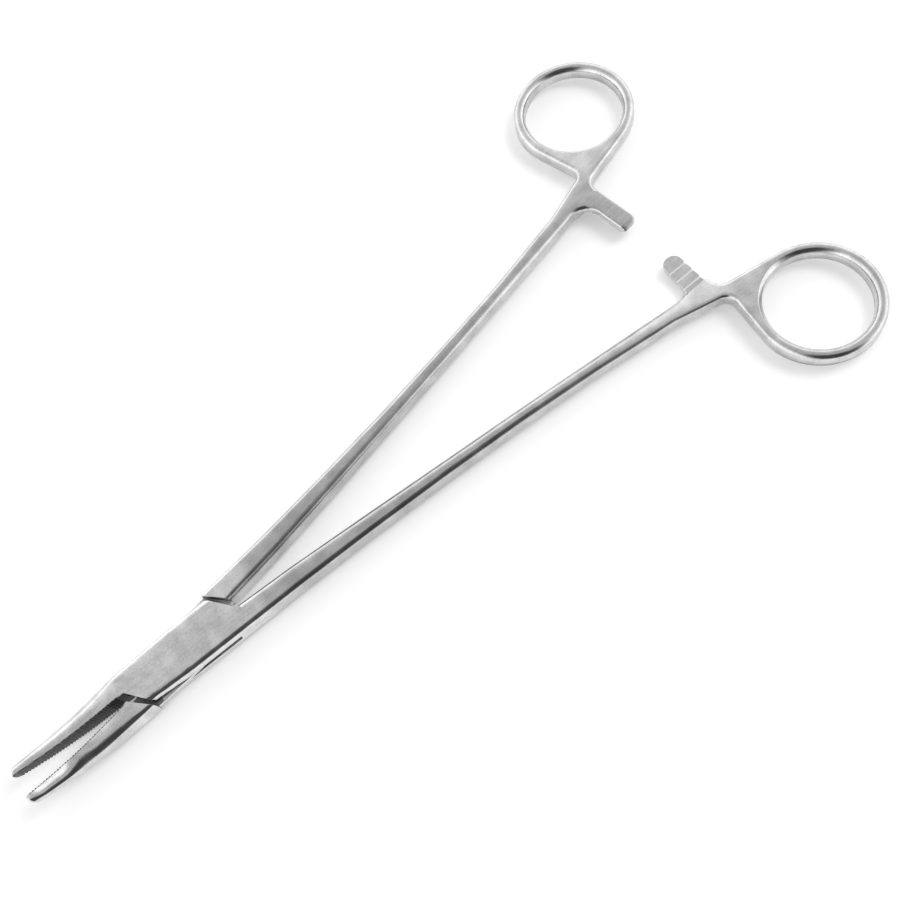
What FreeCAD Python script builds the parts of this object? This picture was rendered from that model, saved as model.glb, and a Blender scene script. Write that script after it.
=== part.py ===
import FreeCAD, Part
import math
import os
import Sketcher

# Curved-jaw needle holder with a box lock, about 210 mm long when closed. Each half is drawn as it
# lies when the jaws are shut: X runs from the pivot to the finger rings, Y across them, Z up, and
# Z = 0 is the middle of the forging. The two halves are then turned apart about the pivot.

doc = FreeCAD.newDocument("NeedleHolder")

# Driving dimensions, in millimetres and degrees
SIZES = {
    "half_opening": 3.5,
    "forging_thickness": 5.8,
    "face_gap": 0.05,
    # box lock: the cheeks above and below the slot, and the web that turns in it
    "box_reach_jaw_side": 15.0,
    "box_reach_ring_side": 15.0,
    "box_width_jaw_end": 10.0,
    "box_width_pivot": 11.3,
    "box_width_ring_end": 11.5,
    "box_round": 1.5,
    "cheek_edge_jaw_side": 14.3,
    "cheek_edge_ring_side": 13.9,
    "cheek_edge_slant": 37.0,
    "shoulder_gap": 0.45,
    "slot_end": 14.6,
    "slot_wall_slant": 30.0,
    "web_thickness": 1.2,
    "web_clearance": 0.05,
    "web_waist": 6.0,
    "web_root": 2.0,
    "pin_radius": 1.6,
    "pin_clearance": 0.03,
    # shanks: distance of the inner side from the middle line, and the width there
    "station_near": 28.0,
    "station_mid": 46.0,
    "station_long": 66.0,
    "station_waist": 86.0,
    "station_slim": 106.0,
    "inner_box": 0.12,
    "inner_near": 0.62,
    "inner_mid": 1.82,
    "inner_long": 3.28,
    "inner_waist": 4.8,
    "inner_slim": 6.45,
    "inner_bow": 8.25,
    "shank_width_near": 5.22,
    "shank_width_mid": 4.42,
    "shank_width_long": 3.75,
    "shank_width_waist": 3.42,
    "shank_width_slim": 3.42,
    "shank_width_bow": 3.85,
    "shank_round": 1.6,
    # finger rings, with the neck that joins them to the shank
    "bow_thickness": 4.2,
    "bow_round": 1.1,
    "hole_bevel": 0.9,
    "ring_along": 151.7,
    "ring_across": 28.6,
    "ring_radius": 13.1,
    "ring_width": 2.7,
    "neck_along": 139.0,
    "neck_reach": 13.0,
    "neck_outer": 15.0,
    "neck_inner": 11.8,
    "neck_outer_round": 2.5,
    "neck_inner_round": 3.2,
    # ratchet arms, which fork off the bows just before the neck
    "arm_before_neck": 2.9,
    "arm_width": 4.6,
    "arm_fork": 8.95,
    "arm_fork_round": 4.0,
    "arm_margin": 2.2,
    "arm_tip_upper": 3.2,
    "arm_tip_lower": 1.9,
    "arm_round_upper": 1.4,
    "arm_round_lower": 2.2,
    "tooth_first": 1.3,
    "tooth_pitch": 2.45,
    "tooth_depth": 0.5,
    # jaws, which bend upwards out of the flat of the forging
    "jaw_length": 41.4,
    "jaw_rise": 3.4,
    "jaw_bend_start": 22.0,
    "jaw_station_bend": 22.0,
    "jaw_station_rising": 26.0,
    "jaw_station_middle": 30.0,
    "jaw_station_taper": 34.0,
    "jaw_station_tip": 38.0,
    "jaw_station_nose": 40.5,
    "jaw_station_end": 41.4,
    "jaw_width_bend": 4.4,
    "jaw_width_rising": 4.0,
    "jaw_width_middle": 3.58,
    "jaw_width_taper": 3.1,
    "jaw_width_tip": 2.62,
    "jaw_width_nose": 2.2,
    "jaw_width_end": 1.4,
    "jaw_height_bend": 4.9,
    "jaw_height_rising": 4.5,
    "jaw_height_middle": 4.1,
    "jaw_height_taper": 3.7,
    "jaw_height_tip": 3.2,
    "jaw_height_nose": 2.8,
    "jaw_height_end": 1.9,
    "jaw_round_bend": 2.0,
    "jaw_round_rising": 2.0,
    "jaw_round_middle": 1.9,
    "jaw_round_taper": 1.75,
    "jaw_round_tip": 1.52,
    "jaw_round_nose": 1.3,
    "jaw_round_end": 0.85,
    "serration_start": 16.4,
    "serration_pitch": 0.65,
    "serration_depth": 0.22,
}
RATCHET_TEETH = 3
SERRATIONS = 37
JAW_STOPS = ("bend", "rising", "middle", "taper", "tip", "nose", "end")

sheet = doc.addObject("Spreadsheet::Sheet", "Sizes")
for row, (alias, number) in enumerate(SIZES.items(), start=1):
    sheet.set(f"A{row}", alias)
    sheet.set(f"B{row}", str(number))
    sheet.setAlias(f"B{row}", alias)
doc.recompute()


class Size:
    """A length or angle worked out from the sheet, with the expression that says how."""

    def __init__(self, number, text):
        self.number = number
        self.text = text

    def __add__(self, other):
        other = as_size(other)
        return Size(self.number + other.number, f"({self.text} + {other.text})")

    def __sub__(self, other):
        other = as_size(other)
        return Size(self.number - other.number, f"({self.text} - {other.text})")

    def __mul__(self, other):
        other = as_size(other)
        return Size(self.number * other.number, f"({self.text} * {other.text})")

    def __truediv__(self, other):
        other = as_size(other)
        return Size(self.number / other.number, f"({self.text} / {other.text})")

    def __rmul__(self, other):
        return as_size(other) * self

    def __rsub__(self, other):
        return as_size(other) - self

    def __neg__(self):
        return Size(-self.number, f"(-1 * {self.text})")


def as_size(value):
    return value if isinstance(value, Size) else Size(value, repr(value))


def size(alias):
    return Size(SIZES[alias], f"Sizes.{alias}")


def cosine(angle):
    return Size(math.cos(math.radians(angle.number)), f"cos({angle.text})")


def tangent(angle):
    return Size(math.tan(math.radians(angle.number)), f"tan({angle.text})")


def bind(target, path, value):
    target.setExpression(path, as_size(value).text)


def new_sketch(body, name, role):
    """An empty sketch on one of the body's own origin planes."""
    sketch = body.newObject("Sketcher::SketchObject", name)
    planes = [plane for plane in body.Origin.OriginFeatures if plane.Role == role]
    sketch.AttachmentSupport = [(planes[0], "")]
    sketch.MapMode = "FlatFace"
    return sketch


def hold(sketch, kind, name, value, *where):
    """A dimension in a sketch that follows the sheet."""
    value = as_size(value)
    index = sketch.addConstraint(Sketcher.Constraint(kind, *where, value.number))
    sketch.renameConstraint(index, name)
    sketch.setExpression(f"Constraints.{name}", value.text)


def fillet_points(before, corner, after, radius):
    """Where an arc of this radius leaves and joins the two sides of a corner, and its centre."""
    to_before = (before - corner).normalize()
    to_after = (after - corner).normalize()
    half = to_before.getAngle(to_after) / 2
    reach = radius / math.tan(half)
    centre = corner + (to_before + to_after).normalize() * (radius / math.sin(half))
    return corner + to_before * reach, corner + to_after * reach, centre


def arc_between(centre, start, end):
    """The shorter arc between two points, which a sketch wants anticlockwise."""
    a, b = start - centre, end - centre
    anticlockwise = a.x * b.y - a.y * b.x > 0
    first, last = (a, b) if anticlockwise else (b, a)
    circle = Part.Circle(centre, FreeCAD.Vector(0, 0, 1), a.Length)
    arc = Part.ArcOfCircle(circle, math.atan2(first.y, first.x), math.atan2(last.y, last.x))
    return arc, anticlockwise


def tangent_point(point, centre, radius, turn):
    """Where a line from a point touches a circle, on its right (turn 1) or its left (turn -1)."""
    away = point - centre
    angle = math.atan2(away.y, away.x) + turn * math.acos(radius / away.Length)
    return centre + FreeCAD.Vector(math.cos(angle), math.sin(angle), 0) * radius


def outline(sketch, corners, ring=None):
    """A closed outline of straight sides. Each corner is (x, y, radius); radius 0 is left sharp.

    With a ring, given as (x, y, radius, turn), the last corner and the first one aren't joined
    to each other: a side from each runs tangent into the circle, which closes the outline. turn
    is 1 where the outline runs anticlockwise and -1 where it runs clockwise.
    """
    points = [FreeCAD.Vector(as_size(x).number, as_size(y).number, 0) for x, y, _ in corners]
    radii = [as_size(radius).number for _, _, radius in corners]
    count = len(corners)
    before_first, after_last = points[-1], points[0]
    if ring:
        centre = FreeCAD.Vector(ring[0].number, ring[1].number, 0)
        after_last = tangent_point(points[-1], centre, ring[2].number, ring[3])
        before_first = tangent_point(points[0], centre, ring[2].number, -ring[3])
    neighbours = [before_first] + points + [after_last]
    cuts = []
    for i, point in enumerate(points):
        if radii[i]:
            cuts.append(fillet_points(neighbours[i], point, neighbours[i + 2], radii[i]))
        else:
            cuts.append((point, point, None))
    ends = [cut[0] for cut in cuts[1:]] + [after_last if ring else cuts[0][0]]
    sides = []
    for cut, end in zip(cuts, ends):
        sides.append(sketch.addGeometry(Part.LineSegment(cut[1], end), False))
    if ring:
        sides.append(sketch.addGeometry(Part.LineSegment(before_first, cuts[0][0]), False))
        touches = (after_last, before_first) if ring[3] > 0 else (before_first, after_last)
        angles = [math.atan2((p - centre).y, (p - centre).x) for p in touches]
        circle = Part.Circle(centre, FreeCAD.Vector(0, 0, 1), ring[2].number)
        arc = sketch.addGeometry(Part.ArcOfCircle(circle, *angles), False)
        entry, exit_point = (1, 2) if ring[3] > 0 else (2, 1)
        sketch.addConstraint(Sketcher.Constraint("Tangent", sides[count - 1], 2, arc, entry))
        sketch.addConstraint(Sketcher.Constraint("Tangent", arc, exit_point, sides[count], 1))
        hold(sketch, "Radius", "ring_radius", ring[2], arc)
        hold(sketch, "DistanceX", "ring_x", ring[0], -1, 1, arc, 3)
        hold(sketch, "DistanceY", "ring_y", ring[1], -1, 1, arc, 3)
    for i, (x, y, radius) in enumerate(corners):
        entering, leaving = sides[i - 1], sides[i]
        if radii[i]:
            arc, anticlockwise = arc_between(cuts[i][2], cuts[i][0], cuts[i][1])
            bend = sketch.addGeometry(arc, False)
            first, last = (1, 2) if anticlockwise else (2, 1)
            sketch.addConstraint(Sketcher.Constraint("Tangent", entering, 2, bend, first))
            sketch.addConstraint(Sketcher.Constraint("Tangent", bend, last, leaving, 1))
            hold(sketch, "Radius", f"round{i}", radius, bend)
            mark = sketch.addGeometry(Part.Point(points[i]), True)
            sketch.addConstraint(Sketcher.Constraint("PointOnObject", mark, 1, entering))
            sketch.addConstraint(Sketcher.Constraint("PointOnObject", mark, 1, leaving))
            corner = (mark, 1)
        else:
            sketch.addConstraint(Sketcher.Constraint("Coincident", entering, 2, leaving, 1))
            corner = (leaving, 1)
        hold(sketch, "DistanceX", f"x{i}", x, -1, 1, *corner)
        hold(sketch, "DistanceY", f"y{i}", y, -1, 1, *corner)


def section(body, name, along, sides, middle, height, rounds, slant=None):
    """A rounded rectangle across the instrument, at X = along.

    sides are the Y of its inner and outer side, middle the Z of its centre, and rounds the corner
    radii of the inner and outer side. slant turns it about the upright through the middle line.
    """
    sketch = new_sketch(body, name, "YZ_Plane")
    if slant is not None:
        upright = FreeCAD.Rotation(FreeCAD.Vector(0, 1, 0), slant.number)
        sketch.AttachmentOffset = FreeCAD.Placement(FreeCAD.Vector(0, 0, 0), upright)
        bind(sketch, "AttachmentOffset.Rotation.Angle", slant)
    bind(sketch, "AttachmentOffset.Base.z", along)
    (inner, outer), (inner_round, outer_round) = sides, rounds
    bottom, top = middle - height / 2, middle + height / 2
    corners = [
        (inner, bottom, inner_round),
        (outer, bottom, outer_round),
        (outer, top, outer_round),
        (inner, top, inner_round),
    ]
    outline(sketch, corners)
    return sketch


def loft(body, name, sketches, ruled=False):
    feature = body.newObject("PartDesign::AdditiveLoft", name)
    feature.Profile = sketches[0]
    feature.Sections = sketches[1:]
    feature.Ruled = ruled
    return feature


def pad(body, name, sketch, length, two_sided=True):
    feature = body.newObject("PartDesign::Pad", name)
    feature.Profile = sketch
    feature.Midplane = two_sided
    bind(feature, "Length", length)
    return feature


def pocket(body, name, sketch, length):
    """A cut as deep above the middle plane as below it."""
    feature = body.newObject("PartDesign::Pocket", name)
    feature.Profile = sketch
    feature.Midplane = True
    bind(feature, "Length", length)
    return feature


thickness = size("forging_thickness")
bow_thickness = size("bow_thickness")
bow_start = size("neck_along") - size("neck_reach")
arm_along = size("neck_along") - size("arm_before_neck")
slant = size("cheek_edge_slant")
across_all = 2 * thickness
plate = Size(0.0, "0")


def shank(body, side, finished_bow, start):
    """The tapering arm between the bow's own end face and the box."""
    faces = enumerate(finished_bow.Shape.Faces, start=1)
    ends = [f"Face{index}" for index, face in faces
            if abs(face.BoundBox.XMax - bow_start.number) < 1e-6]
    rounds = (size("shank_round"), size("shank_round"))
    reach = bow_start - size("box_reach_ring_side")
    sections = [(finished_bow, ends)]
    for stop in ("slim", "waist", "long", "mid", "near"):
        along = size(f"station_{stop}")
        inner = size(f"inner_{stop}")
        outer = inner + size(f"shank_width_{stop}")
        left = (bow_start - along) / reach
        height = bow_thickness + (thickness - bow_thickness) * left
        sides = (side * inner, side * outer)
        sections.append(section(body, f"Section_{stop}", along, sides, plate, height, rounds))
    return loft(body, "Shank", sections + [start], ruled=True)


def face_rims(feature, closed):
    """Edges of the bow's upper and lower faces: the round hole's (closed) or the outline's."""
    face_height = bow_thickness.number / 2
    rims = []
    for index, edge in enumerate(feature.Shape.Edges, start=1):
        middle = edge.CenterOfMass
        level = abs(abs(middle.z) - face_height) < 1e-6 and edge.BoundBox.ZLength < 1e-6
        if level and edge.isClosed() == closed and middle.x > bow_start.number + 0.01:
            rims.append(f"Edge{index}")
    return rims


def bow(body, side, tip, tip_round):
    """The finger ring and its neck, with the ratchet arm that forks off towards the other half."""
    sketch = new_sketch(body, "Bow_outline", "XY_Plane")
    half = size("arm_width") / 2
    jaw_edge, ring_edge = arm_along - half, arm_along + half
    ring_across = side * size("ring_across")
    outer = size("ring_radius") + size("ring_width") / 2
    corners = [
        (size("neck_along"), side * size("neck_outer"), size("neck_outer_round")),
        (bow_start, side * (size("inner_bow") + size("shank_width_bow")), 0),
        (bow_start, side * size("inner_bow"), 0),
        (jaw_edge, side * size("arm_fork"), size("arm_fork_round")),
        (jaw_edge, -1 * side * tip, tip_round),
        (ring_edge, -1 * side * tip, tip_round),
        (ring_edge, side * size("neck_inner"), size("neck_inner_round")),
    ]
    outline(sketch, corners, ring=(size("ring_along"), ring_across, outer, side))
    pad(body, "Bow", sketch, bow_thickness)

    hole = new_sketch(body, "Finger_hole", "XY_Plane")
    inner = size("ring_radius") - size("ring_width") / 2
    centre = FreeCAD.Vector(SIZES["ring_along"], ring_across.number, 0)
    circle = hole.addGeometry(Part.Circle(centre, FreeCAD.Vector(0, 0, 1), inner.number), False)
    hold(hole, "Radius", "hole", inner, circle)
    hold(hole, "DistanceX", "hole_x", size("ring_along"), -1, 1, circle, 3)
    hold(hole, "DistanceY", "hole_y", ring_across, -1, 1, circle, 3)
    opening = pocket(body, "Finger_opening", hole, across_all)
    doc.recompute()

    rounding = body.newObject("PartDesign::Fillet", "Bow_rounding")
    rounding.Base = (opening, face_rims(opening, closed=False))
    bind(rounding, "Radius", size("bow_round"))
    doc.recompute()
    bevel = body.newObject("PartDesign::Chamfer", "Finger_hole_bevel")
    bevel.Base = (rounding, face_rims(rounding, closed=True))
    bind(bevel, "Size", size("hole_bevel"))
    doc.recompute()
    return bevel


def ratchet(body, side, level, tip):
    """Thins the arm to half and cuts its teeth. level 1 keeps the upper half, -1 the lower."""
    gap = size("face_gap")
    root = size("tooth_first") + RATCHET_TEETH * size("tooth_pitch")
    reach = size("arm_width") / 2 + size("arm_margin")
    beyond = -1 * side * (tip + size("arm_margin"))
    step = new_sketch(body, "Arm_step_outline", "XY_Plane")
    bind(step, "AttachmentOffset.Base.z", level * (gap - bow_thickness) / 2)
    outline(step, [
        (arm_along - reach, beyond, 0),
        (arm_along + reach, beyond, 0),
        (arm_along + reach, side * root, 0),
        (arm_along - reach, side * root, 0),
    ])
    pocket(body, "Arm_step", step, bow_thickness + gap)

    # Saw teeth: each rises gently towards its own shank and ends in an upright catch
    teeth = new_sketch(body, "Ratchet_profile", "YZ_Plane")
    bind(teeth, "AttachmentOffset.Base.z", arm_along)
    face, floor = level * gap, level * (gap + size("tooth_depth"))
    corners = [(side * size("tooth_first"), plate, 0), (side * size("tooth_first"), floor, 0)]
    for tooth in range(1, RATCHET_TEETH):
        catch = side * (size("tooth_first") + tooth * size("tooth_pitch"))
        corners += [(catch, face, 0), (catch, floor, 0)]
    corners += [(side * root, face, 0), (side * root, plate, 0)]
    outline(teeth, corners)
    pocket(body, "Ratchet_teeth", teeth, 2 * reach)


def jaw_lift(along):
    """How far the middle of a jaw has bent upwards at this distance from the pivot."""
    share = (along - size("jaw_bend_start")) / (size("jaw_length") - size("jaw_bend_start"))
    return size("jaw_rise") * share * share


def jaw(body, side, root):
    """A jaw with a flat gripping side, tapering and bending up to a rounded nose."""
    gap = size("face_gap")
    sections = [root]
    for stop in JAW_STOPS:
        along = size(f"jaw_station_{stop}")
        lift = plate if stop == "bend" else jaw_lift(along)
        sides = (side * gap, side * (gap + size(f"jaw_width_{stop}")))
        rounds = (0, size(f"jaw_round_{stop}"))
        height = size(f"jaw_height_{stop}")
        sections.append(section(body, f"Jaw_{stop}", -along, sides, lift, height, rounds))
    loft(body, "Jaw", sections, ruled=True)

    # Serrations: upright V grooves in the gripping side, repeated towards the nose
    groove = new_sketch(body, "Serration_profile", "XY_Plane")
    depth, half = size("serration_depth"), size("serration_pitch") * 0.45
    mouth = half * (depth + gap) / depth
    start = -size("serration_start")
    outline(groove, [
        (start - mouth, plate, 0),
        (start + mouth, plate, 0),
        (start, side * (gap + depth), 0),
    ])
    first = pocket(body, "Serration", groove, 4 * thickness)
    row = body.newObject("PartDesign::LinearPattern", "Serrations")
    row.Originals = [first]
    row.Direction = (groove, ["H_Axis"])
    row.Reversed = True
    row.Occurrences = SERRATIONS
    bind(row, "Length", size("serration_pitch") * (SERRATIONS - 1))
    body.Tip = row


def pin_bore(body, radius):
    sketch = new_sketch(body, "Pin_hole", "XY_Plane")
    circle = Part.Circle(FreeCAD.Vector(0, 0, 0), FreeCAD.Vector(0, 0, 1), radius.number)
    hole = sketch.addGeometry(circle, False)
    sketch.addConstraint(Sketcher.Constraint("Coincident", hole, 3, -1, 1))
    hold(sketch, "Radius", "bore", radius, hole)
    pocket(body, "Pin_bore", sketch, across_all)


def settle(body, direction):
    """Turn a finished half to its open position and raise it to stand on Z = 0."""
    turn = FreeCAD.Rotation(FreeCAD.Vector(0, 0, direction), SIZES["half_opening"])
    body.Placement = FreeCAD.Placement(FreeCAD.Vector(0, 0, 0), turn)
    bind(body, "Placement.Rotation.Angle", size("half_opening"))
    bind(body, "Placement.Base.z", thickness / 2)


def box_half():
    """The half whose cheeks hold the other one. Its ring lies on the -Y side."""
    body = doc.addObject("PartDesign::Body", "box_half")
    body.Label = "box_half"
    gap, crotch = size("face_gap"), size("inner_box")
    jaw_end, ring_end = size("box_reach_jaw_side"), size("box_reach_ring_side")
    rounds = (size("box_round"), size("box_round"))
    tip = size("arm_tip_lower")
    finished_bow = bow(body, -1, tip, size("arm_round_lower"))
    sides = (-crotch, -size("box_width_ring_end") / 2)
    start = section(body, "Section_box", ring_end, sides, plate, thickness, rounds)
    shank(body, -1, finished_bow, start)

    block = []
    for stop, along in (("jaw_end", -jaw_end), ("pivot", plate), ("ring_end", ring_end)):
        half = size(f"box_width_{stop}") / 2
        block.append(section(body, f"Box_{stop}", along, (-half, half), plate, thickness, rounds))
    loft(body, "Box", block, ruled=True)

    # The free edges of the cheeks run askew, past the shoulders of the other half
    wide, lean = size("box_width_ring_end"), tangent(slant)
    edge = size("cheek_edge_ring_side")
    corner = new_sketch(body, "Cheek_edge_ring_side", "XY_Plane")
    outline(corner, [
        (edge + crotch * lean, -crotch, 0),
        (ring_end + gap * 2, -crotch, 0),
        (ring_end + gap * 2, wide, 0),
        (edge - wide * lean, wide, 0),
    ])
    pocket(body, "Cheek_cut_ring_side", corner, across_all)
    edge = size("cheek_edge_jaw_side")
    corner = new_sketch(body, "Cheek_edge_jaw_side", "XY_Plane")
    outline(corner, [
        (-edge - gap * lean, gap, 0),
        (-jaw_end - gap * 2, gap, 0),
        (-jaw_end - gap * 2, -wide, 0),
        (-edge + wide * lean, -wide, 0),
    ])
    pocket(body, "Cheek_cut_jaw_side", corner, across_all)

    # The slot is open on both sides of the box and closed by a wall at each end
    end, wall = size("slot_end"), tangent(size("slot_wall_slant"))
    slot = new_sketch(body, "Slot_outline", "XY_Plane")
    outline(slot, [
        (end - wide * wall, -wide, 0),
        (end, plate, 0),
        (end, wide, 0),
        (-end + wide * wall, wide, 0),
        (-end, plate, 0),
        (-end, -wide, 0),
    ])
    pocket(body, "Slot", slot, size("web_thickness") + 2 * size("web_clearance"))

    ratchet(body, -1, -1, tip)
    pin_bore(body, size("pin_radius"))
    sides = (gap, size("box_width_jaw_end") / 2)
    rounds = (0, size("box_round"))
    jaw(body, 1, section(body, "Jaw_root", -jaw_end, sides, plate, thickness, rounds))
    settle(body, -1)
    return body


def male_half():
    """The half whose thin web passes through the box. Its ring lies on the +Y side."""
    body = doc.addObject("PartDesign::Body", "male_half")
    body.Label = "male_half"
    gap, crotch = size("face_gap"), size("inner_box")
    lean = tangent(slant)
    ring_shoulder = size("cheek_edge_ring_side") + size("shoulder_gap") / cosine(slant)
    jaw_shoulder = size("cheek_edge_jaw_side") + size("shoulder_gap") / cosine(slant)

    half = size("box_width_ring_end") / 2 / cosine(slant)
    rounds = (size("box_round"), size("box_round"))
    sides = (crotch / cosine(slant), half)
    tip = size("arm_tip_upper")
    finished_bow = bow(body, 1, tip, size("arm_round_upper"))
    shoulder = section(body, "Shoulder", ring_shoulder, sides, plate, thickness, rounds, slant)
    shank(body, 1, finished_bow, shoulder)
    ratchet(body, 1, 1, tip)

    waist = size("web_waist") / 2
    flush = size("box_width_pivot") / 2 - size("web_clearance")
    jaw_flush = size("box_width_jaw_end") / 2 - size("web_clearance")
    inside = size("web_root")
    web = new_sketch(body, "Web_outline", "XY_Plane")
    outline(web, [
        (-jaw_shoulder - inside, -crotch * 3, 0),
        (-jaw_shoulder - inside + jaw_flush * lean, -jaw_flush + crotch, 0),
        (-jaw_shoulder + jaw_flush * lean, -jaw_flush, 0),
        (waist, -flush, 0),
        (ring_shoulder - inside, crotch, 0),
        (ring_shoulder + inside, crotch * 3, 0),
        (ring_shoulder + inside - flush * lean, flush - crotch, 0),
        (ring_shoulder - flush * lean, flush, 0),
        (-waist, flush, 0),
        (-jaw_shoulder + inside, -gap, 0),
    ])
    pad(body, "Web", web, size("web_thickness"))
    pin_bore(body, size("pin_radius") + size("pin_clearance"))

    half = size("box_width_jaw_end") / 2 / cosine(slant)
    sides = (-gap / cosine(slant), -half)
    rounds = (0, size("box_round"))
    root = section(body, "Jaw_root", -jaw_shoulder, sides, plate, thickness, rounds, slant)
    jaw(body, -1, root)
    settle(body, 1)
    return body


def pivot_pin():
    """The plain pin, pressed into the cheeks and ground flush with them."""
    pin = doc.addObject("Part::Cylinder", "pivot_pin")
    pin.Label = "pivot_pin"
    bind(pin, "Radius", size("pin_radius"))
    bind(pin, "Height", thickness)
    return pin


pieces = [box_half(), male_half(), pivot_pin()]
doc.recompute()

failed = [item.Name for item in doc.Objects if "Invalid" in item.State or "Error" in item.State]
if failed:
    raise RuntimeError(f"objects that failed: {failed}")
for piece in pieces:
    if piece.Shape.isNull() or not piece.Shape.isValid():
        raise RuntimeError(f"{piece.Label} has no valid shape")

os.makedirs("parts", exist_ok=True)
for piece in pieces:
    piece.Shape.exportStep(f"parts/{piece.Label}.step")
    box = piece.Shape.BoundBox
    print(piece.Label, len(piece.Shape.Solids), round(piece.Shape.Volume, 1), box)
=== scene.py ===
import math

import bpy
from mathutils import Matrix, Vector

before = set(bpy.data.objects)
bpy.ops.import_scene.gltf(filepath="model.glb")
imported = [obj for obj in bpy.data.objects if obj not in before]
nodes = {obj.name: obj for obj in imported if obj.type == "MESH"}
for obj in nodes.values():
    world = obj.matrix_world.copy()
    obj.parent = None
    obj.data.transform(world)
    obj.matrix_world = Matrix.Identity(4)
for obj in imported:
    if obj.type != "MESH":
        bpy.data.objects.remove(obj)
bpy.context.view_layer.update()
bpy.context.scene.view_settings.view_transform = "Standard"


# The instrument table: a white laminate top under the needle holder, lit evenly so that its
# surface reads as clean white and keeps only the soft shadow under the forging.
def join(tree, term, socket):
    """Feeds a socket from another one, or sets it to a number, a vector or a colour."""
    if isinstance(term, bpy.types.NodeSocket):
        tree.links.new(term, socket)
    else:
        socket.default_value = term


def reckon(tree, operation, first, *others):
    """Arithmetic between sockets and numbers, from left to right."""
    result = first
    for other in others or (None,):
        step = tree.nodes.new("ShaderNodeMath")
        step.operation = operation
        join(tree, result, step.inputs[0])
        if other is not None:
            join(tree, other, step.inputs[1])
        result = step.outputs[0]
    return result


def grey(value):
    return (value, value, value, 1)


def grey_ramp(tree, amount, low, high):
    """A colour that runs from one (amount, grey) to another."""
    ramp = tree.nodes.new("ShaderNodeValToRGB")
    for stop, (place, value) in zip(ramp.color_ramp.elements, (low, high)):
        stop.position = place
        stop.color = grey(value)
    tree.links.new(amount, ramp.inputs["Fac"])
    return ramp.outputs["Color"]


def white_laminate():
    """Faintly mottled white, lifted to clean white where the camera or a mirror sees it."""
    finish = bpy.data.materials.new("white_laminate")
    finish.use_nodes = True
    tree = finish.node_tree
    link = tree.links.new
    tree.nodes.clear()
    mottle = tree.nodes.new("ShaderNodeTexNoise")
    mottle.inputs["Scale"].default_value = 14
    link(tree.nodes.new("ShaderNodeTexCoord").outputs["Object"], mottle.inputs["Vector"])
    body = tree.nodes.new("ShaderNodeBsdfDiffuse")
    link(grey_ramp(tree, mottle.outputs["Fac"], (0.3, 0.80), (0.7, 0.82)), body.inputs["Color"])
    ray = tree.nodes.new("ShaderNodeLightPath")
    kinds = [ray.outputs[f"Is {kind} Ray"] for kind in ("Camera", "Glossy", "Transmission")]
    glow = tree.nodes.new("ShaderNodeEmission")
    glow.inputs["Color"].default_value = grey(1)
    lift = 0.30
    link(reckon(tree, "MULTIPLY", reckon(tree, "MAXIMUM", *kinds), lift), glow.inputs["Strength"])
    both = tree.nodes.new("ShaderNodeAddShader")
    link(body.outputs[0], both.inputs[0])
    link(glow.outputs[0], both.inputs[1])
    link(both.outputs[0], tree.nodes.new("ShaderNodeOutputMaterial").inputs["Surface"])
    return finish


table_height = -0.00005
table_reach = 3.0
mesh = bpy.data.meshes.new("table")
corners = [(x * table_reach, y * table_reach, 0) for x, y in ((-1, -1), (1, -1), (1, 1), (-1, 1))]
mesh.from_pydata(corners, [], [(0, 1, 2, 3)])
mesh.materials.append(white_laminate())
table = bpy.data.objects.new("table", mesh)
table.location = (0.06, 0, table_height)
bpy.context.scene.collection.objects.link(table)


# The studio: a white room with a grey diffuser overhead, bright walls low down, and a dark gap
# on the near side. The gap draws the dark line along the rounded edges, the walls the bright one.
def fade(tree, value, low, high, at_low, at_high):
    """Runs smoothly from one number to another while the value goes from low to high."""
    run = tree.nodes.new("ShaderNodeMapRange")
    run.interpolation_type = "SMOOTHSTEP"
    ends = {"From Min": low, "From Max": high, "To Min": at_low, "To Max": at_high}
    for name, number in ends.items():
        run.inputs[name].default_value = number
    tree.links.new(value, run.inputs["Value"])
    return run.outputs["Result"]


def vector_step(tree, operation, *terms):
    """One step of vector arithmetic between sockets and vectors; SCALE takes a number too."""
    step = tree.nodes.new("ShaderNodeVectorMath")
    step.operation = operation
    second = step.inputs["Scale"] if operation == "SCALE" else step.inputs[1]
    for term, socket in zip(terms, (step.inputs[0], second)):
        join(tree, term, socket)
    return step.outputs["Value" if operation in ("DOT_PRODUCT", "LENGTH") else "Vector"]


def blended(tree, kind, amount, first, second):
    """A mix of two colours (kind RGBA) or of two vectors (kind VECTOR)."""
    mix = tree.nodes.new("ShaderNodeMix")
    mix.data_type = kind
    one, other, result = {"RGBA": (6, 7, 2), "VECTOR": (4, 5, 1)}[kind]
    for socket, term in ((0, amount), (one, first), (other, second)):
        join(tree, term, mix.inputs[socket])
    return mix.outputs[result]


def room_light():
    """The room as steel reflects it. The camera itself sees plain white."""
    world = bpy.data.worlds.new("white_room")
    world.use_nodes = True
    tree = world.node_tree
    way = tree.nodes.new("ShaderNodeTexCoord").outputs["Generated"]
    room = grey(1.6)
    # Middle of the patch, cosines at its outer and inner edge, and its grey
    diffuser = ((0, 0, 1), 0.25, 0.93, 0.62)
    dark_gap = ((-0.30, -0.80, 0.52), 0.62, 0.95, 0.07)
    for direction, outer, inner, value in (diffuser, dark_gap):
        patch = fade(tree, vector_step(tree, "DOT_PRODUCT", way, direction), outer, inner, 0, 1)
        room = blended(tree, "RGBA", patch, room, grey(value))
    straight = tree.nodes.new("ShaderNodeLightPath").outputs["Is Camera Ray"]
    room = blended(tree, "RGBA", straight, room, grey(1))
    tree.links.new(room, tree.nodes["Background"].inputs["Color"])
    return world


bpy.context.scene.world = room_light()

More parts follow.
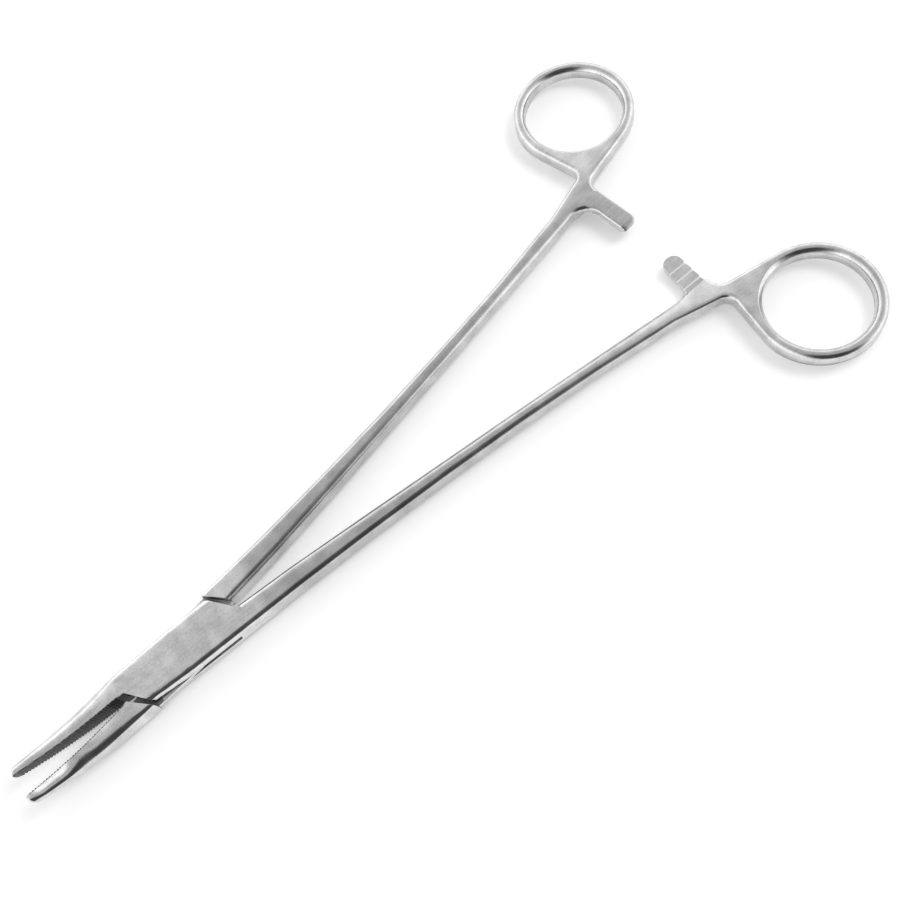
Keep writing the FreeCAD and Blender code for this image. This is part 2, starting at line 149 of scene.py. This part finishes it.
softbox = bpy.data.lights.new("softbox", "AREA")
softbox.shape = "RECTANGLE"
softbox.size = 0.35
softbox.size_y = 0.35
softbox.energy = 1.9
lamp = bpy.data.objects.new("softbox", softbox)
lamp.location = (0.55, -0.10, 0.62)
middle = Vector((0.06, 0, 0.003))
lamp.rotation_euler = (lamp.location - middle).to_track_quat("Z", "Y").to_euler()
lamp.visible_glossy = False
bpy.context.scene.collection.objects.link(lamp)

camera = bpy.data.cameras.new("camera")
camera.lens = 44.0
camera.sensor_width = 36.0
camera.clip_start = 0.01
camera.clip_end = 20
view = bpy.data.objects.new("camera", camera)
view.location = (0.0378, -0.0962, 0.2215)
view.rotation_euler = [math.radians(angle) for angle in (21.869, 9.238, -41.579)]
bpy.context.scene.collection.objects.link(view)
bpy.context.scene.camera = view


# The two forgings, of martensitic stainless steel. Their flats are ground to a fine satin, matt
# and mottled, and their edges are buffed round until they are nearly mirror-bright. The gripping
# faces of the jaws are cross-cut lengthwise and painted dark, partly for their rough steel and
# partly as painted shade of the narrow gap between the jaws.
def noise(tree, place, scale, detail, stretch=(1, 1, 1)):
    """Noise with features of about 1 / scale metres, drawn out along the axes."""
    drawn = tree.nodes.new("ShaderNodeMapping")
    drawn.inputs["Scale"].default_value = stretch
    grain = tree.nodes.new("ShaderNodeTexNoise")
    grain.inputs["Scale"].default_value = scale
    grain.inputs["Detail"].default_value = detail
    tree.links.new(place, drawn.inputs["Vector"])
    tree.links.new(drawn.outputs["Vector"], grain.inputs["Vector"])
    return grain.outputs["Fac"]


def parts_of(tree, vector):
    split = tree.nodes.new("ShaderNodeSeparateXYZ")
    tree.links.new(vector, split.inputs["Vector"])
    return split.outputs


def vector_of(tree, *parts):
    joined = tree.nodes.new("ShaderNodeCombineXYZ")
    for part, socket in zip(parts, joined.inputs):
        join(tree, part, socket)
    return joined.outputs["Vector"]


def in_mm(tree, place):
    return vector_step(tree, "SCALE", place, 1000)


def turned(tree, vector, angle):
    """A vector turned about the pivot's axis."""
    spin = tree.nodes.new("ShaderNodeVectorRotate")
    spin.rotation_type = "Z_AXIS"
    spin.inputs["Angle"].default_value = angle
    tree.links.new(vector, spin.inputs["Vector"])
    return spin.outputs["Vector"]


def on_ratchet(tree, place, square, side):
    """1 on the ratchet arm, apart from its two long sides, and 0 elsewhere."""
    along, across = parts_of(tree, place)[:2]
    behind_neck = fade(tree, along, 133.0, 133.6, 0, 1)
    inside_neck = fade(tree, reckon(tree, "MULTIPLY", across, side), 8.4, 8.8, 1, 0)
    off_sides = fade(tree, square[0], 0.45, 0.70, 1, 0)
    return reckon(tree, "MULTIPLY", behind_neck, inside_neck, off_sides)


def on_catches(tree, place, facing, side):
    """1 along the catch of each tooth, on the toothed face of a ratchet arm."""
    first, pitch, line_width = 1.3, 2.45, 0.20
    across = parts_of(tree, place)[1]
    past_first = reckon(tree, "SUBTRACT", reckon(tree, "MULTIPLY", across, side), first)
    phase = reckon(tree, "FRACT", reckon(tree, "DIVIDE", past_first, pitch))
    behind = fade(tree, phase, line_width, line_width + 0.03, 1, 0)
    before = fade(tree, phase, 0.97, 0.98, 0, 1)
    line = reckon(tree, "MAXIMUM", behind, before)
    off_tip = fade(tree, past_first, -0.2, -0.1, 0, 1)
    towards_teeth = reckon(tree, "MULTIPLY", parts_of(tree, facing)[2], -side)
    return reckon(tree, "MULTIPLY", line, off_tip, fade(tree, towards_teeth, -0.1, 0.2, 0, 1))


# Where each half is crowned across: X, middle and half width in mm, and how strongly
CROWN = [
    (-41.4, -0.7, 1.6, 0.45),
    (-32.0, -0.9, 2.3, 0.50),
    (-22.0, -1.4, 3.2, 0.75),
    (-16.0, -1.2, 4.2, 0.40),
    (-14.0, 0.0, 5.4, 0.08),
    (14.0, 0.0, 5.6, 0.08),
    (16.0, 2.9, 2.8, 0.10),
    (46.0, 4.0, 2.2, 0.16),
    (86.0, 6.5, 1.7, 0.30),
    (126.0, 10.2, 1.9, 0.45),
    (134.0, 11.5, 4.0, 0.15),
    (165.0, 11.5, 4.0, 0.0),
]


def crown_lean(tree, place, side):
    """How far the crown leans towards +Y. A ramp holds the table, its lengths as shares of span."""
    span, below = 20, 5
    along, across = parts_of(tree, place)[:2]
    start, length = CROWN[0][0], CROWN[-1][0] - CROWN[0][0]
    run = tree.nodes.new("ShaderNodeValToRGB")
    stops = run.color_ramp.elements
    while len(stops) < len(CROWN):
        stops.new(0.5)
    for stop, (x, middle, half, strength) in zip(stops, CROWN):
        stop.position = (x - start) / length
        stop.color = ((middle + below) / span, half / span, strength, 1)
    travelled = reckon(tree, "DIVIDE", reckon(tree, "SUBTRACT", along, start), length)
    tree.links.new(travelled, run.inputs["Fac"])
    split = tree.nodes.new("ShaderNodeSeparateColor")
    tree.links.new(run.outputs["Color"], split.inputs["Color"])
    middle = reckon(tree, "SUBTRACT", reckon(tree, "MULTIPLY", split.outputs[0], span), below)
    half = reckon(tree, "MULTIPLY", split.outputs[1], span)
    lean = reckon(tree, "SUBTRACT", reckon(tree, "MULTIPLY", across, side), middle)
    lean = reckon(tree, "DIVIDE", lean, half)
    lean = reckon(tree, "MINIMUM", reckon(tree, "MAXIMUM", lean, -1.2), 1.2)
    return reckon(tree, "MULTIPLY", lean, split.outputs[2], side)


def ring_bar(tree, place, side):
    """The facing of an upright oval bar bent round the finger hole, and where it counts."""
    hole_middle, bar_radius, bar_height = (151.7, side * 28.6, 0), 13.1, 2.9
    half_width, half_height = 1.45, 2.1
    towards_neck = (-0.641, side * -0.767, 0)
    spoke = vector_step(tree, "MULTIPLY", place, (1, 1, 0))
    spoke = vector_step(tree, "SUBTRACT", spoke, hole_middle)
    outward = vector_step(tree, "NORMALIZE", spoke)
    off_middle = reckon(tree, "SUBTRACT", vector_step(tree, "LENGTH", spoke), bar_radius)
    bulge = reckon(tree, "DIVIDE", off_middle, half_width ** 2)
    rise = reckon(tree, "SUBTRACT", parts_of(tree, place)[2], bar_height)
    rise = reckon(tree, "DIVIDE", rise, half_height ** 2)
    bar = vector_step(tree, "SCALE", outward, bulge)
    bar = vector_step(tree, "ADD", bar, vector_of(tree, 0, 0, rise))
    to_neck = vector_step(tree, "DOT_PRODUCT", outward, towards_neck)
    clear_of_neck = fade(tree, to_neck, 0.40, 0.80, 1, 0)
    in_bar = fade(tree, reckon(tree, "ABSOLUTE", off_middle), 1.6, 1.8, 1, 0)
    counts = reckon(tree, "MULTIPLY", clear_of_neck, in_bar, 0.85)
    return vector_step(tree, "NORMALIZE", bar), counts


def ground_facing(tree, place, facing, square, milled, side, leans):
    """The facing of the surface, leaning over as on the hand-ground forging.

    The shanks and the jaws are crowned across, and the finger rings are round like a bar. leans
    says between which X a flat was ground askew, and how far it leans towards +Y.
    """
    along = parts_of(tree, place)[0]
    lean = crown_lean(tree, place, side)
    for begin, full, still_full, end, amount in leans:
        grows = fade(tree, along, begin, full, 0, amount)
        fades = fade(tree, along, still_full, end, 1, 0)
        lean = reckon(tree, "ADD", lean, reckon(tree, "MULTIPLY", grows, fades))
    lean = reckon(tree, "MULTIPLY", lean, reckon(tree, "POWER", square[2], 3.0))
    leaning = vector_step(tree, "ADD", facing, vector_of(tree, 0, lean, 0))
    leaning = vector_step(tree, "NORMALIZE", leaning)

    # Ratchet teeth: milled, so their slopes are as matt as the flats
    slopes = reckon(tree, "MULTIPLY", milled, fade(tree, square[1], 0.26, 0.30, 0.8, 0.5))
    leaning = blended(tree, "VECTOR", slopes, leaning, (0, 0, 1))

    bar, counts = ring_bar(tree, place, side)
    return vector_step(tree, "NORMALIZE", blended(tree, "VECTOR", counts, leaning, bar))


def satin_steel(name, opening, side, leans):
    """The finish of one forging, placed in mm as if the forging weren't turned about the pivot.

    opening is the angle it is turned by at rest. side is 1 for the male half and -1 for the box.
    """
    finish = bpy.data.materials.new(name)
    finish.use_nodes = True
    tree = finish.node_tree
    link = tree.links.new
    shader = tree.nodes["Principled BSDF"]
    object_space = tree.nodes.new("ShaderNodeTexCoord")
    here = turned(tree, object_space.outputs["Object"], -opening)
    facing = turned(tree, object_space.outputs["Normal"], -opening)
    place = in_mm(tree, here)
    along, across, up = parts_of(tree, place)
    # How squarely the surface faces along each axis, either way
    square = parts_of(tree, vector_step(tree, "ABSOLUTE", facing))
    level = square[2]
    milled = on_ratchet(tree, place, square, side)

    # Steel: clouded, speckled and brushed lengthwise
    cloud = noise(tree, here, 260, 5)
    speckle = noise(tree, here, 3000, 2)
    brushed = noise(tree, here, 900, 3, (0.25, 3, 3))
    shares = [
        reckon(tree, "MULTIPLY", grain, share)
        for grain, share in ((cloud, 0.5), (speckle, 0.3), (brushed, 0.2))
    ]
    colour = grey_ramp(tree, reckon(tree, "ADD", *shares), (0.36, 0.50), (0.64, 0.79))

    # Grip: where the flat inner side of the jaw lies along the middle line, cut in slanting rows
    row_width, row_slant = 0.22, 0.35
    past_box = fade(tree, along, -15.8, -15.2, 1, 0)
    upright = fade(tree, level, 0.6, 0.8, 1, 0)
    root = reckon(tree, "MULTIPLY", fade(tree, along, -14.2, -13.6, 1, 0), upright)
    inner = fade(tree, reckon(tree, "ABSOLUTE", across), 0.30, 0.36, 1, 0)
    grip = reckon(tree, "MULTIPLY", reckon(tree, "MAXIMUM", past_box, root), inner)
    rows = reckon(tree, "ADD", up, reckon(tree, "MULTIPLY", along, row_slant))
    rows = reckon(tree, "DIVIDE", reckon(tree, "PINGPONG", rows, row_width), row_width)
    # The dark grip colour is partly the rough cut steel and partly painted shade of the gap between
    # the jaws
    cut = fade(tree, rows, 0.15, 0.85, 0.07, 0.24)
    colour = blended(tree, "RGBA", grip, colour, vector_of(tree, cut, cut, cut))

    # Painted highlight: the catches of the ratchet are painted nearly white and made less metallic
    catches = reckon(tree, "MULTIPLY", on_catches(tree, place, facing, side), milled)
    colour = blended(tree, "RGBA", catches, colour, grey(0.92))
    metallic_less_on_highlight = reckon(tree, "SUBTRACT", 1.0, reckon(tree, "MULTIPLY", catches, 0.8))
    link(metallic_less_on_highlight, shader.inputs["Metallic"])

    # Painted shade: ambient occlusion darkens the colour in crevices and between the parts, less so
    # past X 120 mm
    painted_shade_ao = tree.nodes.new("ShaderNodeAmbientOcclusion")
    painted_shade_ao.samples = 6
    painted_shade_ao.inputs["Distance"].default_value = 0.0016
    shade = fade(tree, painted_shade_ao.outputs["AO"], 0.30, 0.80, 0.16, 1)
    shade = reckon(tree, "MAXIMUM", shade, fade(tree, along, 120, 128, 0, 0.85))

    # Painted shade, too, on the end wall of the box and the web behind it, in the crotch of the
    # jaws
    web_top, crotch_middle = 3.5, -14.0
    end_wall = fade(tree, square[0], 0.45, 0.60, 0, 1)
    off_web = reckon(tree, "ABSOLUTE", reckon(tree, "SUBTRACT", up, web_top))
    flat = fade(tree, level, 0.6, 0.8, 0, 1)
    web = reckon(tree, "MULTIPLY", reckon(tree, "LESS_THAN", off_web, 0.2), flat)
    off_crotch = reckon(tree, "ABSOLUTE", reckon(tree, "SUBTRACT", along, crotch_middle))
    crotch = reckon(tree, "LESS_THAN", off_crotch, 4.5)
    crotch = reckon(tree, "MULTIPLY", crotch, reckon(tree, "MAXIMUM", end_wall, web))
    shade = reckon(tree, "MULTIPLY", shade, fade(tree, crotch, 0, 1, 1, 0.35))

    # The milled arm is a little darker. Painted light and shade: the box is painted brightest, the
    # shanks greyest near it
    matt = reckon(tree, "MULTIPLY", milled, reckon(tree, "SUBTRACT", 1.0, catches))
    shade = reckon(tree, "MULTIPLY", shade, fade(tree, matt, 0, 1, 1, 0.90))
    painted_light_tones = ((-20, -14, 1.15), (12, 30, 0.69), (60, 105, 1.13), (120, 134, 1.04))
    for begin, end, change in painted_light_tones:
        shade = reckon(tree, "MULTIPLY", shade, fade(tree, along, begin, end, 1, change))
    link(vector_step(tree, "SCALE", colour, shade), shader.inputs["Base Color"])

    # Satin on the flats, a high polish on the rounded edges
    polish = fade(tree, level, 0.90, 0.995, 0.17, 0.31)
    polish = reckon(tree, "MULTIPLY", polish, fade(tree, along, -22, -16, 0.65, 1))
    patchy = reckon(tree, "MULTIPLY", reckon(tree, "SUBTRACT", cloud, 0.5), 0.18)
    polish = reckon(tree, "ADD", polish, patchy)
    rough_grip = reckon(tree, "MULTIPLY", grip, 0.5)
    rough_arm = reckon(tree, "MULTIPLY", milled, 0.42)
    link(reckon(tree, "MAXIMUM", polish, rough_grip, rough_arm), shader.inputs["Roughness"])

    to_world = tree.nodes.new("ShaderNodeVectorTransform")
    to_world.vector_type = "NORMAL"
    to_world.convert_from = "OBJECT"
    to_world.convert_to = "WORLD"
    ground = ground_facing(tree, place, facing, square, milled, side, leans)
    link(turned(tree, ground, opening), to_world.inputs["Vector"])
    bump = tree.nodes.new("ShaderNodeBump")
    bump.inputs["Strength"].default_value = 0.25
    bump.inputs["Distance"].default_value = 0.00002
    relief = reckon(tree, "ADD", speckle, brushed, reckon(tree, "MULTIPLY", rows, grip, 5))
    link(relief, bump.inputs["Height"])
    link(to_world.outputs["Vector"], bump.inputs["Normal"])
    link(bump.outputs["Normal"], shader.inputs["Normal"])
    return finish


def edges_to_buff():
    """Geometry nodes that weigh the sharp edges which the wheel has rounded, and keep the rest.

    The noses of the jaws are rounded most. The serrated edges and the crotch stay crisp.
    """
    tree = bpy.data.node_groups.new("edges_to_buff", "GeometryNodeTree")
    for direction in ("INPUT", "OUTPUT"):
        tree.interface.new_socket("Geometry", in_out=direction, socket_type="NodeSocketGeometry")
    sharp_angle = math.radians(38)
    bend = tree.nodes.new("GeometryNodeInputMeshEdgeAngle").outputs["Unsigned Angle"]
    sharp = reckon(tree, "GREATER_THAN", bend, sharp_angle)
    position = tree.nodes.new("GeometryNodeInputPosition").outputs["Position"]
    along, across = parts_of(tree, in_mm(tree, position))[:2]
    behind_jaws = reckon(tree, "GREATER_THAN", along, -16.0)
    aside = reckon(tree, "GREATER_THAN", reckon(tree, "ABSOLUTE", across), 2.4)
    past_lock = reckon(tree, "GREATER_THAN", along, 22.0)
    clear = reckon(tree, "MULTIPLY", behind_jaws, reckon(tree, "MAXIMUM", aside, past_lock), 0.45)
    nose = reckon(tree, "LESS_THAN", along, -40.3)
    weight = reckon(tree, "MULTIPLY", sharp, reckon(tree, "MAXIMUM", clear, nose))
    crisp = reckon(tree, "MULTIPLY", sharp, reckon(tree, "LESS_THAN", weight, 0.1))
    geometry = tree.nodes.new("NodeGroupInput").outputs[0]
    marks = (("bevel_weight_edge", "FLOAT", weight), ("sharp_edge", "BOOLEAN", crisp))
    for name, kind, value in marks:
        mark = tree.nodes.new("GeometryNodeStoreNamedAttribute")
        mark.data_type = kind
        mark.domain = "EDGE"
        mark.inputs["Name"].default_value = name
        tree.links.new(geometry, mark.inputs["Geometry"])
        tree.links.new(value, mark.inputs["Value"])
        geometry = mark.outputs["Geometry"]
    tree.links.new(geometry, tree.nodes.new("NodeGroupOutput").inputs[0])
    return tree


marking = edges_to_buff()
nose_round = 0.00040


def buff_edges(node):
    """Rounds the edges of a forging a little, so that a highlight runs along each."""
    weld = node.modifiers.new("weld", "WELD")
    weld.merge_threshold = 1e-6
    flats = node.modifiers.new("flats", "DECIMATE")
    flats.decimate_type = "DISSOLVE"
    flats.angle_limit = math.radians(0.3)
    marked = node.modifiers.new("marked_edges", "NODES")
    marked.node_group = marking
    edges = node.modifiers.new("buffed_edges", "BEVEL")
    edges.width = nose_round
    edges.segments = 2
    edges.limit_method = "WEIGHT"
    edges.use_clamp_overlap = False
    normals = node.modifiers.new("even_normals", "WEIGHTED_NORMAL")
    normals.keep_sharp = True


half_opening = math.radians(3.5)
forgings = (
    ("box_half", -1, [(90, 125, 138, 165, 0.24)]),
    ("male_half", 1, [(-40.5, -38, -33.5, -30, 0.55), (-31, -29, -28, -25, -0.25)]),
)
for name, side, leans in forgings:
    steel = satin_steel(f"satin_steel_{name}", side * half_opening, side, leans)
    nodes[name].material_slots[0].material = steel
    buff_edges(nodes[name])


# The pivot pin, turned from the same steel. It is pressed into the two cheeks of the box and
# ground flush with them.
steel = satin_steel("satin_steel_pivot_pin", -half_opening, -1, [])
nodes["pivot_pin"].material_slots[0].material = steel
